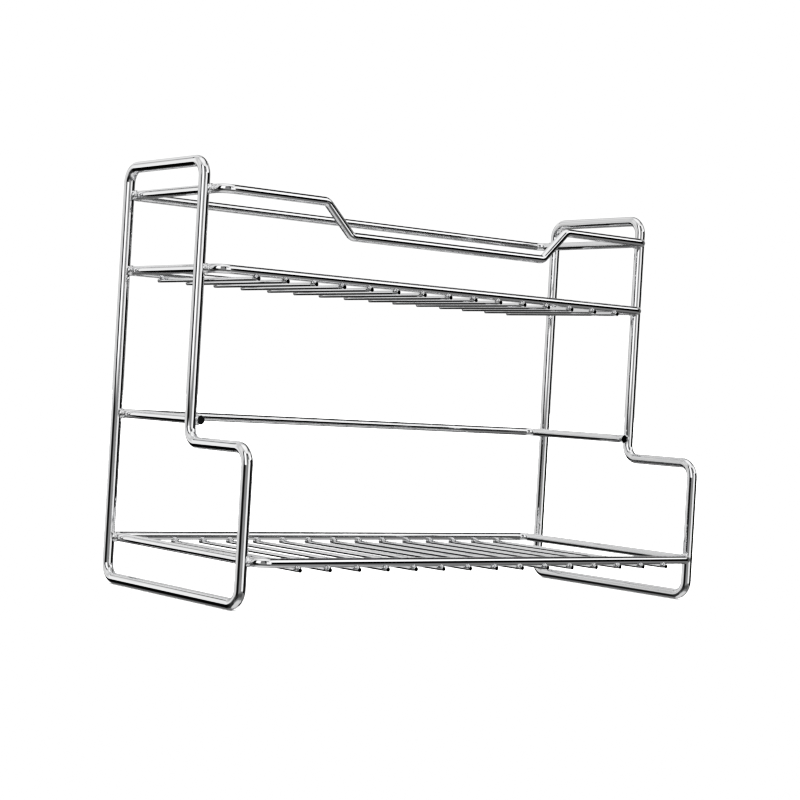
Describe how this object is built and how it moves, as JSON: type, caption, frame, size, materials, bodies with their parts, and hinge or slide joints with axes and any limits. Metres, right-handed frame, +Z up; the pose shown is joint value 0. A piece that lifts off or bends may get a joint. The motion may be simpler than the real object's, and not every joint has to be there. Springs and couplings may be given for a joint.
{
  "type": "tiered wire rack",
  "caption": "Free-standing chromed wire rack with two slatted shelves of different depth between stepped side frames, a guard rail with a dipped front and an open middle rail.",
  "frame": {"origin": "on the surface the rack stands on, at the middle of its outline seen from above", "axes": "+X along the rack to its right as seen from the front, +Y to its back, +Z up; the deeper lower shelf sticks out towards -Y"},
  "size_m": [0.3998, 0.1916, 0.2867],
  "materials": {
    "side_frame_chrome": "polished chrome plate",
    "rail_chrome": "polished chrome plate",
    "shelf_wire_chrome": "polished chrome plate, slightly less even than the heavy wire"
  },
  "bodies": {
    "root": {"side_frame_left": "side_frame_chrome", "side_frame_right": "side_frame_chrome", "upper_guard_rail": "rail_chrome", "upper_shelf_frame": "rail_chrome", "upper_shelf_wire_01": "shelf_wire_chrome", "upper_shelf_wire_02": "shelf_wire_chrome", "upper_shelf_wire_03": "shelf_wire_chrome", "upper_shelf_wire_04": "shelf_wire_chrome", "upper_shelf_wire_05": "shelf_wire_chrome", "upper_shelf_wire_06": "shelf_wire_chrome", "upper_shelf_wire_07": "shelf_wire_chrome", "upper_shelf_wire_08": "shelf_wire_chrome", "upper_shelf_wire_09": "shelf_wire_chrome", "upper_shelf_wire_10": "shelf_wire_chrome", "upper_shelf_wire_11": "shelf_wire_chrome", "upper_shelf_wire_12": "shelf_wire_chrome", "upper_shelf_wire_13": "shelf_wire_chrome", "upper_shelf_wire_14": "shelf_wire_chrome", "upper_shelf_wire_15": "shelf_wire_chrome", "middle_rail": "rail_chrome", "lower_shelf_frame": "rail_chrome", "lower_shelf_wire_01": "shelf_wire_chrome", "lower_shelf_wire_02": "shelf_wire_chrome", "lower_shelf_wire_03": "shelf_wire_chrome", "lower_shelf_wire_04": "shelf_wire_chrome", "lower_shelf_wire_05": "shelf_wire_chrome", "lower_shelf_wire_06": "shelf_wire_chrome", "lower_shelf_wire_07": "shelf_wire_chrome", "lower_shelf_wire_08": "shelf_wire_chrome", "lower_shelf_wire_09": "shelf_wire_chrome", "lower_shelf_wire_10": "shelf_wire_chrome", "lower_shelf_wire_11": "shelf_wire_chrome", "lower_shelf_wire_12": "shelf_wire_chrome", "lower_shelf_wire_13": "shelf_wire_chrome", "lower_shelf_wire_14": "shelf_wire_chrome", "lower_shelf_wire_15": "shelf_wire_chrome"}
  },
  "joints": []
}
